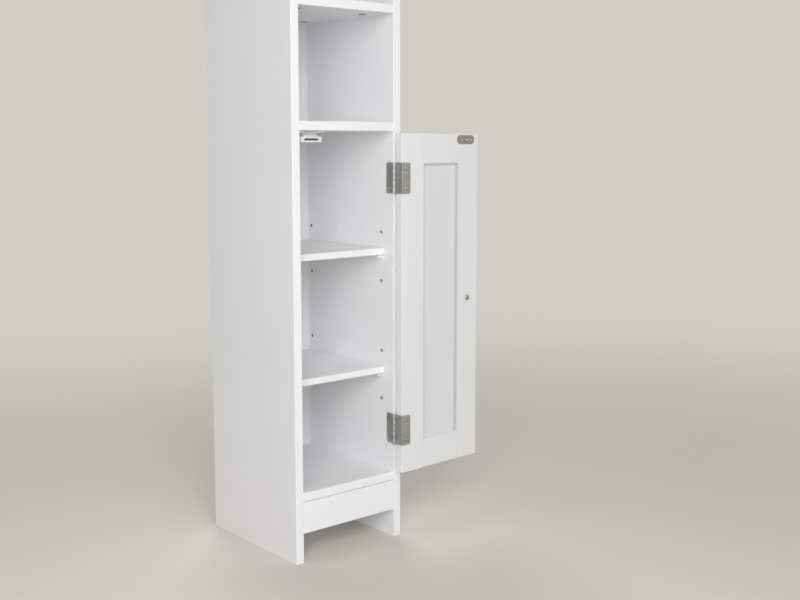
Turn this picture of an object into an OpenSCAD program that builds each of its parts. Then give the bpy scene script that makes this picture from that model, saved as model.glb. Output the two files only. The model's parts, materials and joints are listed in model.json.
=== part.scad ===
// Slim bathroom shelf unit. Four open compartments stand over a cupboard that has
// a framed door and two adjustable shelves. The door is modelled swung fully open.
// Origin: middle of the left side panel's foot, on the floor.
// X runs to the right, Y runs from the front to the wall, Z runs up.

/* [Carcass] */
// Overall width of the carcass
body_w = 180; // [160:1:320]
// Overall depth of the carcass
body_d = 200; // [180:1:320]
// Overall height of the carcass
body_h = 1200; // [1160:1:1300]
// Thickness of the carcass boards
board = 12; // [12:0.5:16]
// Clear height of each open compartment
open_h = 143.5; // [120:0.5:153]
// Height of the kick board's lower edge over the floor
kick_lift = 39; // [10:1:70]
// Height of the kick board
kick_h = 42.2; // [36:0.2:70]
// Gap between the kick board and the bottom panel
kick_gap = 0.8; // [0.4:0.1:2]
// Thickness of the back panel
back_t = 3; // [2.5:0.5:5]
// Width of the rabbets that hold the back panel
rabbet_w = 6; // [5:0.5:8]
// Chamfer that eases the long edges of the carcass boards
ease = 0.6; // [0.2:0.1:1.5]

/* [Cam fasteners] */
// Diameter of a cam lock
cam_d = 12; // [10:0.5:14]
// Distance from a board's end to the cam lock's centre
cam_set = 24; // [20:1:32]
// Distance from the front to the front row of cam locks
cam_front = 37; // [30:1:50]
// Distance from the rear to the rear row of cam locks
cam_rear = 31; // [24:1:50]
// Diameter of a cam bolt
bolt_d = 5; // [4:0.5:6]
// Depth to which a cam bolt is screwed into a side panel
bolt_grip = 8.5; // [6:0.5:10]
// Diameter of a dowel
dowel_d = 6; // [5:0.5:7]
// Depth of a dowel in a side panel
dowel_in_side = 8; // [5:0.5:10]
// Depth of a dowel in a board's end
dowel_in_board = 14; // [10:1:22]
// Distance from a row of cam locks to the dowel beside it
dowel_step = 32; // [20:1:40]

/* [Adjustable shelves] */
// Thickness of an adjustable shelf
adj_t = 9; // [6:0.5:14]
// Distance from the carcass front to an adjustable shelf
adj_recess = 20.5; // [17:0.5:26]
// Gap beside an adjustable shelf
adj_side_gap = 0.75; // [0.4:0.05:2]
// Gap behind an adjustable shelf
adj_back_gap = 1; // [0.4:0.1:4]
// Diameter of a hole for a shelf pin
pin_hole_d = 5; // [4:0.5:6]
// Depth of a hole for a shelf pin
pin_hole_l = 8.5; // [6:0.5:10]
// Diameter of a shelf pin's peg
peg_d = 6; // [5:0.5:8]
// Length of a shelf pin's peg
peg_l = 8; // [5:0.5:14]
// Distance from the front to the front row of pin holes
pin_front = 27; // [24:1:60]
// Distance from the rear to the rear row of pin holes
pin_rear = 11; // [9:1:50]
// Height of the lower group's middle hole over the cupboard floor
pin_low = 134; // [110:1:150]
// Height of the upper group's middle hole over the cupboard floor
pin_high = 300; // [280:1:310]
// Spacing of the holes in a group
pin_pitch = 34; // [25:1:36]
// Hole of its group that the lower shelf rests at
low_level = 0; // [-1:1:1]
// Hole of its group that the upper shelf rests at
high_level = 0; // [-1:1:1]

/* [Door] */
// Angle to which the door stands open
door_open = 183; // [0:1:190]
// Thickness of the door frame
door_t = 12; // [10:0.5:15]
// Width of the door's stiles and rails
frame_w = 41; // [36:1:48]
// Thickness of the door's centre panel
panel_t = 3; // [2.5:0.5:5]
// Distance from the frame's outer face back to the centre panel
panel_set_back = 2.5; // [2:0.5:4]
// Depth of the groove that holds the centre panel
groove_d = 7; // [5:0.5:9]
// Gap over the closed door
door_gap_top = 3; // [1:0.5:5]
// Gap under the closed door
door_gap_bottom = 1; // [0.5:0.5:5]
// Gap beside the closed door's free edge
door_gap_side = 2; // [1:0.5:4]
// Chamfer that eases the edges of the door frame
door_ease = 0.4; // [0.2:0.1:1]

/* [Hinges] */
// Height of a hinge
hinge_h = 42; // [34:1:60]
// Distance from the door's end to a hinge's middle
hinge_inset = 60; // [40:1:90]
// Width of a hinge leaf
leaf_w = 14.5; // [12:0.5:16]
// Thickness of a hinge leaf
leaf_t = 1; // [0.8:0.1:1.5]
// Wall of a hinge knuckle round its pin
knuckle_wall = 0.95; // [0.8:0.05:1.5]
// Diameter of a hinge pin
pin_d = 2.4; // [2:0.1:3]
// Distance between the two screws of a leaf
hinge_screw_gap = 27; // [20:1:30]

/* [Knob and catch] */
// Diameter of the knob
knob_d = 26; // [18:1:32]
// Distance that the knob stands out from the door
knob_l = 22; // [18:1:30]
// Width of the catch body
catch_w = 34; // [28:1:40]
// Distance from the left side panel to the catch's middle
catch_x = 28; // [25:0.5:40]
// Depth of the catch from front to back
catch_depth = 13; // [12:0.5:15]
// Height of the catch under its shelf
catch_h = 15; // [13:0.5:18]
// Length of the strike plate
strike_l = 35; // [28:1:40]
// Height of the strike plate
strike_h = 12.5; // [10:0.5:14]
// Thickness of the strike plate
strike_t = 1; // [0.8:0.1:1.5]

/* [Wall bracket] */
// Width of the wall bracket
bracket_w = 20; // [16:1:30]
// Depth of the wall bracket's foot
bracket_foot = 22; // [18:1:28]
// Height of the wall bracket's upright
bracket_up = 24; // [18:1:40]
// Thickness of the wall bracket
bracket_t = 1.5; // [1:0.1:3]
// Diameter of the bracket's hole for a wall screw
wall_hole_d = 5; // [4:0.5:6]

/* [Hidden] */
$fn = 48;

// Colours
white = [0.93, 0.93, 0.93];
steel = [0.52, 0.51, 0.49];
zinc = [0.42, 0.40, 0.37];
beech = [0.80, 0.66, 0.46];
dark = [0.15, 0.15, 0.16];

// Clearances. Gaps round a pin, screw or bolt are on its radius.
hole_gap = 0.05;
bolt_gap = 0.5;
socket_gap = 0.1;
knob_hole_gap = 0.25;
bottom_gap = 0.4;
seat_gap = 0.2;
pin_gap = 0.05;
knuckle_gap = 0.25;
panel_gap = 0.5;
tongue_gap = 0.3;
groove_gap = 0.1;
back_gap = 0.3;
catch_gap = 0.3;
magnet_gap = 0.05;

// Length by which a cutting shape runs past the face that it cuts
cut = 1;

// Carcass planes
inner_w = body_w - 2 * board;
x_left = -board / 2;
x_in_left = board / 2;
x_in_right = x_in_left + inner_w;
x_right = x_in_right + board;
x_mid = (x_in_left + x_in_right) / 2;
y_front = -body_d / 2;
y_rear = body_d / 2;
y_back = y_rear - back_t;
z_kick = kick_lift + kick_h;
z_bottom = z_kick + kick_gap;
z_floor = z_bottom + board;
open_count = 4;
function fixed_z(i) = body_h - board - (open_count + 1 - i) * (open_h + board);
z_fixed = [for (i = [1:open_count]) fixed_z(i)];
z_cupboard = z_fixed[0];
z_boards = concat([z_bottom], z_fixed, [body_h - board]);

// Cam fasteners
cam_over = 3.5;
cam_h = board / 2 + cam_over;
cam_y = [y_front + cam_front, y_rear - cam_rear];
dowel_y = [cam_y[0] + dowel_step, cam_y[1] - dowel_step];
bolt_neck_in = 1;
bolt_neck_d = bolt_d - 2 * bolt_neck_in;
bolt_head_l = 3;
bolt_head_back = 1.2;
cam_wall_gap = 0.5;
cross_in = 2.4;
cross_l = cam_d - 2 * cross_in;
cross_w = 1.5;
cross_depth = 1.8;
kick_z = kick_lift + kick_h / 2;
kick_split = kick_h / 4;
kick_y = y_front + board / 2;

// Back panel nails
nail_d = 1.2;
nail_l = 15;
nail_head_d = 3;
nail_head_t = 0.5;
nail_count = 8;
nail_end = 18;
nail_x_left = x_in_left - rabbet_w / 2;
nail_x_right = x_in_right + rabbet_w / 2;
nail_z = [for (i = [0:nail_count - 1])
    z_bottom + nail_end + i * (body_h - z_bottom - 2 * nail_end) / (nail_count - 1)];

// Shelf pins
pin_y = [y_front + pin_front, y_rear - pin_rear];
z_low = z_floor + pin_low;
z_high = z_floor + pin_high;
pin_levels = [for (g = [z_low, z_high], k = [-1:1]) g + k * pin_pitch];
low_pin_z = z_low + low_level * pin_pitch;
high_pin_z = z_high + high_level * pin_pitch;

// Hinge axis and leaves, with the door closed
knuckle_r = pin_d / 2 + pin_gap + knuckle_wall;
barrel_over = 0.1;
barrel_front = 0.25;
knuckle_count = 5;
leaf_start = 0.1;
leaf_corner = 2.5;
hinge_x = x_in_right - knuckle_r + barrel_over;
hinge_y = y_front - knuckle_r - barrel_front;
knuckle_l = (hinge_h - (knuckle_count - 1) * knuckle_gap) / knuckle_count;

// Door planes, with the door closed
door_x1 = hinge_x - knuckle_r + barrel_over;
door_x0 = x_in_left + door_gap_side;
door_z0 = z_floor + door_gap_bottom;
door_z1 = z_cupboard - door_gap_top;
door_y1 = y_front + door_t;
groove_w = panel_t + 2 * groove_gap;
groove_y = y_front + panel_set_back + panel_t / 2;
hinge_z = [door_z0 + hinge_inset, door_z1 - hinge_inset];

// Screws. The recess in a head is a share of the head's own size.
screw_d = 3;
screw_head_d = 5.4;
screw_head_h = 1.1;
recess_l_share = 0.6;
recess_w_share = 0.16;
recess_depth_share = 0.6;
hinge_screw_l = 9;
knob_screw_d = 4;
knob_head_d = 8;
knob_head_h = 2.4;
knob_grip = 9;
catch_screw_l = 8;
strike_screw_l = 8;
strike_head_h = catch_gap / 2;
bracket_screw_l = 9;

// Knob
knob_base_d = 13;
knob_base_l = 1.6;
knob_neck_d = 9.4;
knob_rim_r = 4;
knob_x = door_x0 + frame_w / 2;
knob_z = (door_z0 + door_z1) / 2;

// Magnetic catch
catch_cx = x_in_left + catch_x;
catch_y0 = door_y1 + strike_t + catch_gap;
catch_z0 = z_cupboard - catch_h;
catch_body_h = 7.5;
catch_plate_t = 3;
catch_plate_back = 1.25;
catch_ear = 7;
catch_neck_in = 6;
catch_neck_back = 5;
catch_shoulder_h = 2;
catch_shoulder_back = 1.5;
catch_recess_h = 1.4;
slot_w = 22;
slot_h = 3.2;
slot_depth = 9;
pole_t = 0.8;
magnet_back = 0.8;
slot_z = catch_z0 + catch_body_h / 2;
strike_z = slot_z;
catch_screw_y = catch_y0 + catch_depth / 2;
catch_screw_x = [catch_cx - catch_w / 2 - catch_ear / 2, catch_cx + catch_w / 2 + catch_ear / 2];

// Wall bracket
bracket_y = y_rear - bracket_foot / 2;
bracket_screw_edge = 5;
bracket_corner = 3;
wall_hole_down = 10;
wall_hole_z = body_h + bracket_up - wall_hole_down;

// Flat outline between two corners. Its corners are cut back by the four chamfers c,
// which go round from the low corner.
function cut_corner(a, b) = a == b ? [a] : [a, b];
module eased(x0, y0, x1, y1, c) {
    polygon(concat(
        cut_corner([x0, y0 + c[0]], [x0 + c[0], y0]),
        cut_corner([x1 - c[1], y0], [x1, y0 + c[1]]),
        cut_corner([x1, y1 - c[2]], [x1 - c[2], y1]),
        cut_corner([x0 + c[3], y1], [x0, y1 - c[3]])
    ));
}

// Extrusions that run along one axis. The outline lies in Y and Z, X and Z, or X and Y.
module along_x(x0, x1) {
    translate([x0, 0, 0]) rotate([90, 0, 90]) linear_extrude(x1 - x0) children();
}
module along_y(y0, y1) {
    translate([0, y1, 0]) rotate([90, 0, 0]) linear_extrude(y1 - y0) children();
}
module along_z(z0, z1) {
    translate([0, 0, z0]) linear_extrude(z1 - z0) children();
}

// Box between two opposite corners
module block(a, b) {
    translate(a) cube(b - a);
}

// Round rods that run along one axis from p
module rod_x(p, l, d) {
    translate(p) rotate([0, 90, 0]) cylinder(h = l, d = d);
}
module rod_y(p, l, d) {
    translate(p) rotate([-90, 0, 0]) cylinder(h = l, d = d);
}

// Turns children about the hinge axis, from closed to the angle at which the door stands
module door_pose() {
    translate([hinge_x, hinge_y, 0]) rotate([0, 0, door_open]) translate([-hinge_x, -hinge_y, 0])
        children();
}

// Screw with a cross recess. Its head lies over z = 0 and its shank runs down.
module screw(l, d, head_d, head_h) {
    recess_l = recess_l_share * head_d;
    recess_w = recess_w_share * head_d;
    recess_depth = recess_depth_share * head_h;
    difference() {
        union() {
            cylinder(h = head_h, d = head_d);
            translate([0, 0, -l]) cylinder(h = l + head_h / 2, d = d);
        }
        for (a = [0, 90]) rotate([0, 0, a])
            translate([-recess_l / 2, -recess_w / 2, head_h - recess_depth])
                cube([recess_l, recess_w, head_h]);
    }
}

// Hole that a screw's shank fits, drilled down from z = 0
module screw_hole(l, d) {
    translate([0, 0, -l - bottom_gap]) cylinder(h = l + bottom_gap + cut, d = d + 2 * hole_gap);
}

// Places for every cam fastener and dowel. Each child is drawn with its board's end at x = 0,
// the side panel at negative x, and the board's own underside at z = -board / 2.
module at_board_ends(ys) {
    for (z = z_boards, y = ys) {
        translate([x_in_left, y, z + board / 2]) children();
        translate([x_in_right, y, z + board / 2]) mirror([1, 0, 0]) children();
    }
}
module at_kick_ends(z) {
    translate([x_in_left, kick_y, z]) rotate([90, 0, 0]) children();
    translate([x_in_right, kick_y, z]) mirror([1, 0, 0]) rotate([90, 0, 0]) children();
}
module at_cams() {
    at_board_ends(cam_y) children();
    at_kick_ends(kick_z - kick_split) children();
}
module at_dowels() {
    at_board_ends(dowel_y) children();
    at_kick_ends(kick_z + kick_split) children();
}

// One cam lock, with a cross recess in its face and a socket for the bolt's head
module cam_lock() {
    difference() {
        translate([cam_set, 0, -board / 2]) cylinder(h = cam_h, d = cam_d);
        rod_x([cam_set - bolt_head_back - socket_gap, 0, 0], bolt_head_l + 2 * socket_gap,
            bolt_d + 2 * socket_gap);
        rod_x([cam_set - cam_d, 0, 0], cam_d, bolt_neck_d + 2 * socket_gap);
        for (a = [0, 90]) translate([cam_set, 0, -board / 2]) rotate([0, 0, a])
            translate([-cross_l / 2, -cross_w / 2, -cut]) cube([cross_l, cross_w, cross_depth + cut]);
    }
}

// One cam bolt: a screwed end, a shank, a neck and the head that the cam lock pulls on
module cam_bolt() {
    shank_l = cam_set - cam_d / 2 - cam_wall_gap;
    union() {
        rod_x([-bolt_grip, 0, 0], bolt_grip + shank_l, bolt_d);
        rod_x([shank_l - cut, 0, 0], cam_set - shank_l + cut, bolt_neck_d);
        rod_x([cam_set - bolt_head_back, 0, 0], bolt_head_l, bolt_d);
    }
}

// Holes that one cam fastener or one dowel needs in its board and in its side panel
module cam_holes_in_board() {
    rod_x([-cut, 0, 0], cam_set + cut, bolt_d + 2 * bolt_gap);
    translate([cam_set, 0, -board / 2 - cut])
        cylinder(h = cam_h + cut + bottom_gap, d = cam_d + 2 * hole_gap);
}
module bolt_hole_in_side() {
    rod_x([-bolt_grip - bottom_gap, 0, 0], bolt_grip + bottom_gap + cut, bolt_d + 2 * hole_gap);
}
module dowel_hole() {
    rod_x([-dowel_in_side - bottom_gap, 0, 0], dowel_in_side + dowel_in_board + 2 * bottom_gap,
        dowel_d + 2 * hole_gap);
}

// One nail through the back panel, with its head set flush
module nail() {
    rod_y([0, y_rear - nail_head_t, 0], nail_head_t, nail_head_d);
    rod_y([0, y_rear - nail_l, 0], nail_l - nail_head_t / 2, nail_d);
}
module nail_hole() {
    rod_y([0, y_rear - nail_head_t, 0], nail_head_t + cut, nail_head_d + 2 * hole_gap);
    rod_y([0, y_rear - nail_l - bottom_gap, 0], nail_l + bottom_gap, nail_d + 2 * hole_gap);
}
module at_nails() {
    for (x = [nail_x_left, nail_x_right], z = nail_z) translate([x, 0, z]) children();
    for (z = z_boards) translate([x_mid, 0, z + board / 2]) children();
}

// Places of the screws in the hinge leaves. The first runs into the side panel and the
// second into the closed door, both with the screw's head away from the wood.
module at_panel_leaf_screws(z) {
    for (s = [-1, 1]) translate([x_in_right - leaf_t, y_front + leaf_w / 2, z + s * hinge_screw_gap / 2])
        rotate([0, -90, 0]) children();
}
module at_door_leaf_screws(z) {
    for (s = [-1, 1]) translate([door_x1 - leaf_w / 2, door_y1 + leaf_t, z + s * hinge_screw_gap / 2])
        rotate([-90, 0, 0]) children();
}

// Pin holes in one side panel, which start at its inner face and run towards negative x
module pin_holes() {
    for (y = pin_y, z = pin_levels)
        rod_x([-pin_hole_l, y, z], pin_hole_l + cut, pin_hole_d);
}

// Outline of a side panel, with the front edges eased and a rabbet for the back panel
module side_blank(x0, x1, rabbet_x) {
    difference() {
        along_z(0, body_h) eased(x0, y_front, x1, y_rear, [ease, ease, 0, 0]);
        block([rabbet_x, y_back, -cut], [rabbet_x + rabbet_w + cut, y_rear + cut, body_h + cut]);
    }
}

module left_side_panel() {
    color(white) difference() {
        side_blank(x_left, x_in_left, x_in_left - rabbet_w);
        at_cams() bolt_hole_in_side();
        at_dowels() dowel_hole();
        translate([x_in_left, 0, 0]) pin_holes();
        at_nails() nail_hole();
    }
}

module right_side_panel() {
    color(white) difference() {
        side_blank(x_in_right, x_right, x_in_right - cut);
        at_cams() bolt_hole_in_side();
        at_dowels() dowel_hole();
        translate([x_in_right, 0, 0]) mirror([1, 0, 0]) pin_holes();
        at_nails() nail_hole();
        for (z = hinge_z) at_panel_leaf_screws(z) screw_hole(hinge_screw_l + leaf_t, screw_d);
    }
}

// A board that spans the side panels, with its underside at z
module cross_board(z) {
    difference() {
        along_x(x_in_left, x_in_right) eased(y_front, z, y_back, z + board, [ease, 0, 0, ease]);
        at_cams() cam_holes_in_board();
        at_dowels() dowel_hole();
        at_nails() nail_hole();
    }
}

module bottom_panel() {
    color(white) cross_board(z_bottom);
}

module fixed_shelf_1() {
    color(white) difference() {
        cross_board(z_fixed[0]);
        for (x = catch_screw_x) translate([x, catch_screw_y, z_cupboard]) rotate([180, 0, 0])
            screw_hole(catch_screw_l, screw_d);
    }
}

module fixed_shelf_2() {
    color(white) cross_board(z_fixed[1]);
}

module fixed_shelf_3() {
    color(white) cross_board(z_fixed[2]);
}

module fixed_shelf_4() {
    color(white) cross_board(z_fixed[3]);
}

module at_bracket_screws() {
    reach = bracket_w / 2 - bracket_screw_edge;
    for (x = [x_mid - reach, x_mid + reach]) translate([x, bracket_y, body_h + bracket_t])
        children();
}

module top_panel() {
    color(white) difference() {
        cross_board(body_h - board);
        at_bracket_screws() screw_hole(bracket_screw_l, screw_d);
    }
}

module kick_board() {
    color(white) difference() {
        along_x(x_in_left, x_in_right)
            eased(y_front, kick_lift, y_front + board, z_kick, [ease, 0, 0, ease]);
        at_cams() cam_holes_in_board();
        at_dowels() dowel_hole();
    }
}

module back_panel() {
    color(white) difference() {
        block([x_in_left - rabbet_w + back_gap, y_back, z_bottom],
            [x_in_right + rabbet_w - back_gap, y_rear, body_h]);
        at_nails() nail_hole();
    }
}

module cam_locks() {
    color(zinc) at_cams() cam_lock();
}

module cam_bolts() {
    color(steel) at_cams() cam_bolt();
}

module dowels() {
    color(beech) at_dowels() rod_x([-dowel_in_side, 0, 0], dowel_in_side + dowel_in_board, dowel_d);
}

module back_panel_nails() {
    color(steel) at_nails() nail();
}

// An adjustable shelf that rests on pins whose centres are at z
module adjustable_shelf(z) {
    z0 = z + peg_d / 2 + seat_gap;
    along_x(x_in_left + adj_side_gap, x_in_right - adj_side_gap)
        eased(y_front + adj_recess, z0, y_back - adj_back_gap, z0 + adj_t, [ease, 0, 0, ease]);
}

// The four pins of one adjustable shelf: a shank in the hole and a thicker peg
module shelf_pins(z) {
    for (y = pin_y) {
        translate([x_in_left, y, z]) shelf_pin();
        translate([x_in_right, y, z]) mirror([1, 0, 0]) shelf_pin();
    }
}
module shelf_pin() {
    rod_x([-pin_hole_l + bottom_gap, 0, 0], pin_hole_l, pin_hole_d - 2 * hole_gap);
    rod_x([0, 0, 0], peg_l, peg_d);
}

module adjustable_shelf_upper() {
    color(white) adjustable_shelf(high_pin_z);
}

module adjustable_shelf_lower() {
    color(white) adjustable_shelf(low_pin_z);
}

module shelf_pins_upper() {
    color(white) shelf_pins(high_pin_z);
}

module shelf_pins_lower() {
    color(white) shelf_pins(low_pin_z);
}

// A stile with its groove, which opens at groove_x
module stile(x0, x1, groove_x) {
    difference() {
        along_z(door_z0, door_z1) eased(x0, y_front, x1, door_y1, door_ease * [1, 1, 1, 1]);
        block([groove_x - groove_d, groove_y - groove_w / 2, door_z0 - cut],
            [groove_x + groove_d, groove_y + groove_w / 2, door_z1 + cut]);
    }
}

module door_hinge_stile() {
    color(white) door_pose() difference() {
        stile(door_x1 - frame_w, door_x1, door_x1 - frame_w);
        for (z = hinge_z) at_door_leaf_screws(z) screw_hole(hinge_screw_l + leaf_t, screw_d);
    }
}

module door_free_stile() {
    color(white) door_pose() difference() {
        stile(door_x0, door_x0 + frame_w, door_x0 + frame_w);
        rod_y([knob_x, y_front - cut, knob_z], door_t + 2 * cut, knob_screw_d + 2 * knob_hole_gap);
        translate([catch_cx, door_y1 + strike_t, strike_z]) rotate([-90, 0, 0])
            screw_hole(strike_screw_l, screw_d);
    }
}

// A rail between the stiles, with a tongue at each end and its groove at groove_z
module rail(z0, z1, groove_z) {
    x0 = door_x0 + frame_w;
    x1 = door_x1 - frame_w;
    tongue = groove_d - tongue_gap;
    difference() {
        union() {
            along_x(x0, x1) eased(y_front, z0, door_y1, z1, door_ease * [1, 1, 1, 1]);
            block([x0 - tongue, groove_y - panel_t / 2, z0], [x1 + tongue, groove_y + panel_t / 2, z1]);
        }
        block([x0 - groove_d - cut, groove_y - groove_w / 2, groove_z - groove_d],
            [x1 + groove_d + cut, groove_y + groove_w / 2, groove_z + groove_d]);
    }
}

module door_top_rail() {
    color(white) door_pose() rail(door_z1 - frame_w, door_z1, door_z1 - frame_w);
}

module door_bottom_rail() {
    color(white) door_pose() rail(door_z0, door_z0 + frame_w, door_z0 + frame_w);
}

module door_centre_panel() {
    reach = frame_w - groove_d + panel_gap;
    color(white) door_pose()
        block([door_x0 + reach, groove_y - panel_t / 2, door_z0 + reach],
            [door_x1 - reach, groove_y + panel_t / 2, door_z1 - reach]);
}

// Low end of knuckle k of the hinge at z
function knuckle_z(z, k) = z - hinge_h / 2 + k * (knuckle_l + knuckle_gap);

// Knuckles of one leaf. The tabs that join them to the leaf lie between x0 and x1.
module knuckles(z, ks, x0, x1) {
    for (k = ks) difference() {
        union() {
            translate([hinge_x, hinge_y, knuckle_z(z, k)]) cylinder(h = knuckle_l, r = knuckle_r);
            block([x0, hinge_y, knuckle_z(z, k)],
                [x1, y_front + leaf_start + cut, knuckle_z(z, k) + knuckle_l]);
        }
        translate([hinge_x, hinge_y, knuckle_z(z, k) - cut])
            cylinder(h = knuckle_l + 2 * cut, r = pin_d / 2 + pin_gap);
    }
}

// Outline of a leaf, with round corners at its far end u1
module leaf_outline(u0, u1, v0, v1, r) {
    s = u1 > u0 ? 1 : -1;
    low = min(u0, u1 - s * r);
    high = max(u0, u1 - s * r);
    translate([low, v0]) square([high - low, v1 - v0]);
    translate([min(u1, u1 - s * r), v0 + r]) square([r, v1 - v0 - 2 * r]);
    for (v = [v0 + r, v1 - r]) translate([u1 - s * r, v]) circle(r = r);
}

// The leaf on the side panel's inner face, drilled for its screws
module panel_leaf(z) {
    difference() {
        union() {
            along_x(x_in_right - leaf_t, x_in_right)
                leaf_outline(y_front + leaf_start, y_front + leaf_w, z - hinge_h / 2, z + hinge_h / 2,
                    leaf_corner);
            knuckles(z, [0, 2, 4], x_in_right - leaf_t, x_in_right);
        }
        at_panel_leaf_screws(z) screw_hole(leaf_t + cut, screw_d);
    }
}

// The leaf that wraps the door's edge and lies on the door's inner face
module door_leaf(z) {
    difference() {
        union() {
            along_y(door_y1, door_y1 + leaf_t)
                leaf_outline(door_x1, door_x1 - leaf_w, z - hinge_h / 2, z + hinge_h / 2, leaf_corner);
            block([door_x1, y_front + leaf_start, z - hinge_h / 2],
                [door_x1 + leaf_t, door_y1 + leaf_t, z + hinge_h / 2]);
            knuckles(z, [1, 3], door_x1, door_x1 + leaf_t);
        }
        at_door_leaf_screws(z) screw_hole(leaf_t + cut, screw_d);
    }
}

module hinge_pin(z) {
    translate([hinge_x, hinge_y, z - hinge_h / 2]) cylinder(h = hinge_h, d = pin_d);
}

module hinge_screw() {
    screw(hinge_screw_l + leaf_t, screw_d, screw_head_d, screw_head_h);
}

module hinge_upper_panel_leaf() {
    color(steel) panel_leaf(hinge_z[1]);
}

module hinge_upper_door_leaf() {
    color(steel) door_pose() door_leaf(hinge_z[1]);
}

module hinge_upper_pin() {
    color(steel) hinge_pin(hinge_z[1]);
}

module hinge_upper_panel_screws() {
    color(steel) at_panel_leaf_screws(hinge_z[1]) hinge_screw();
}

module hinge_upper_door_screws() {
    color(steel) door_pose() at_door_leaf_screws(hinge_z[1]) hinge_screw();
}

module hinge_lower_panel_leaf() {
    color(steel) panel_leaf(hinge_z[0]);
}

module hinge_lower_door_leaf() {
    color(steel) door_pose() door_leaf(hinge_z[0]);
}

module hinge_lower_pin() {
    color(steel) hinge_pin(hinge_z[0]);
}

module hinge_lower_panel_screws() {
    color(steel) at_panel_leaf_screws(hinge_z[0]) hinge_screw();
}

module hinge_lower_door_screws() {
    color(steel) door_pose() at_door_leaf_screws(hinge_z[0]) hinge_screw();
}

// Round knob with a rounded rim, on a neck and a small base
module door_knob() {
    color(steel) door_pose() translate([knob_x, y_front, knob_z]) rotate([90, 0, 0]) difference() {
        union() {
            cylinder(h = knob_base_l, d = knob_base_d);
            cylinder(h = knob_l - knob_rim_r, d = knob_neck_d);
            translate([0, 0, knob_l - knob_rim_r]) rotate_extrude() {
                translate([0, -knob_rim_r]) square([knob_d / 2 - knob_rim_r, 2 * knob_rim_r]);
                translate([knob_d / 2 - knob_rim_r, 0]) circle(r = knob_rim_r);
            }
        }
        translate([0, 0, -cut]) cylinder(h = knob_grip + cut + bottom_gap, d = knob_screw_d + 2 * hole_gap);
    }
}

module knob_screw() {
    color(steel) door_pose() translate([knob_x, door_y1, knob_z]) rotate([-90, 0, 0])
        screw(door_t + knob_grip, knob_screw_d, knob_head_d, knob_head_h);
}

// Plate with round ends that the magnet holds
module strike_plate() {
    r = strike_h / 2;
    color(steel) door_pose() difference() {
        along_y(door_y1, door_y1 + strike_t) {
            translate([catch_cx - strike_l / 2 + r, strike_z - r]) square([strike_l - 2 * r, strike_h]);
            for (s = [-1, 1]) translate([catch_cx + s * (strike_l / 2 - r), strike_z]) circle(r = r);
        }
        translate([catch_cx, door_y1 + strike_t, strike_z]) rotate([-90, 0, 0])
            screw_hole(strike_t + cut, screw_d);
    }
}

module strike_plate_screw() {
    color(steel) door_pose() translate([catch_cx, door_y1 + strike_t, strike_z]) rotate([-90, 0, 0])
        screw(strike_screw_l, screw_d, screw_head_d, strike_head_h);
}

// Body, shoulder, neck and eared plate of the magnetic catch, which hangs under the first fixed
// shelf. The plate is recessed over the neck.
module catch_housing() {
    x0 = catch_cx - catch_w / 2;
    x1 = catch_cx + catch_w / 2;
    y1 = catch_y0 + catch_depth;
    neck_x0 = x0 + catch_neck_in;
    neck_x1 = x1 - catch_neck_in;
    body_top = catch_z0 + catch_body_h;
    color(white) difference() {
        union() {
            block([x0, catch_y0, catch_z0], [x1, y1, body_top]);
            block([neck_x0, catch_y0 + catch_shoulder_back, catch_z0],
                [neck_x1, y1, body_top + catch_shoulder_h]);
            block([neck_x0, catch_y0 + catch_neck_back, catch_z0], [neck_x1, y1, z_cupboard]);
            block([x0 - catch_ear, catch_y0 + catch_plate_back, z_cupboard - catch_plate_t],
                [x1 + catch_ear, y1, z_cupboard]);
        }
        block([neck_x0, catch_y0 - cut, z_cupboard - catch_recess_h],
            [neck_x1, catch_y0 + catch_neck_back, z_cupboard + cut]);
        block([catch_cx - slot_w / 2, catch_y0 - cut, slot_z - slot_h / 2],
            [catch_cx + slot_w / 2, catch_y0 + slot_depth, slot_z + slot_h / 2]);
        at_catch_screws() screw_hole(catch_plate_t, screw_d);
    }
}
module at_catch_screws() {
    for (x = catch_screw_x) translate([x, catch_screw_y, z_cupboard - catch_plate_t]) rotate([180, 0, 0])
        children();
}

// Block in the catch's slot, between heights z0 and z1, that starts at y0
module in_slot(y0, z0, z1) {
    x0 = catch_cx - slot_w / 2 + magnet_gap;
    x1 = catch_cx + slot_w / 2 - magnet_gap;
    block([x0, y0, z0], [x1, catch_y0 + slot_depth - magnet_gap, z1]);
}

module catch_magnet() {
    half_h = slot_h / 2 - pole_t - 2 * magnet_gap;
    color(dark) in_slot(catch_y0 + magnet_back, slot_z - half_h, slot_z + half_h);
}

module catch_pole_plates() {
    outer = slot_h / 2 - magnet_gap;
    color(steel) {
        in_slot(catch_y0, slot_z - outer, slot_z - outer + pole_t);
        in_slot(catch_y0, slot_z + outer - pole_t, slot_z + outer);
    }
}

module catch_screws() {
    color(steel) at_catch_screws()
        screw(catch_screw_l + catch_plate_t, screw_d, screw_head_d, screw_head_h);
}

// Angle bracket on the top panel that a wall screw holds against tipping
module wall_bracket() {
    color(steel) difference() {
        union() {
            block([x_mid - bracket_w / 2, y_rear - bracket_foot, body_h],
                [x_mid + bracket_w / 2, y_rear, body_h + bracket_t]);
            along_y(y_rear - bracket_t, y_rear)
                eased(x_mid - bracket_w / 2, body_h, x_mid + bracket_w / 2, body_h + bracket_up,
                    bracket_corner * [0, 0, 1, 1]);
        }
        at_bracket_screws() screw_hole(bracket_t + cut, screw_d);
        rod_y([x_mid, y_rear - bracket_t - cut, wall_hole_z], bracket_t + 2 * cut, wall_hole_d);
    }
}

module wall_bracket_screws() {
    color(steel) at_bracket_screws() screw(bracket_screw_l, screw_d, screw_head_d, screw_head_h);
}

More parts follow.
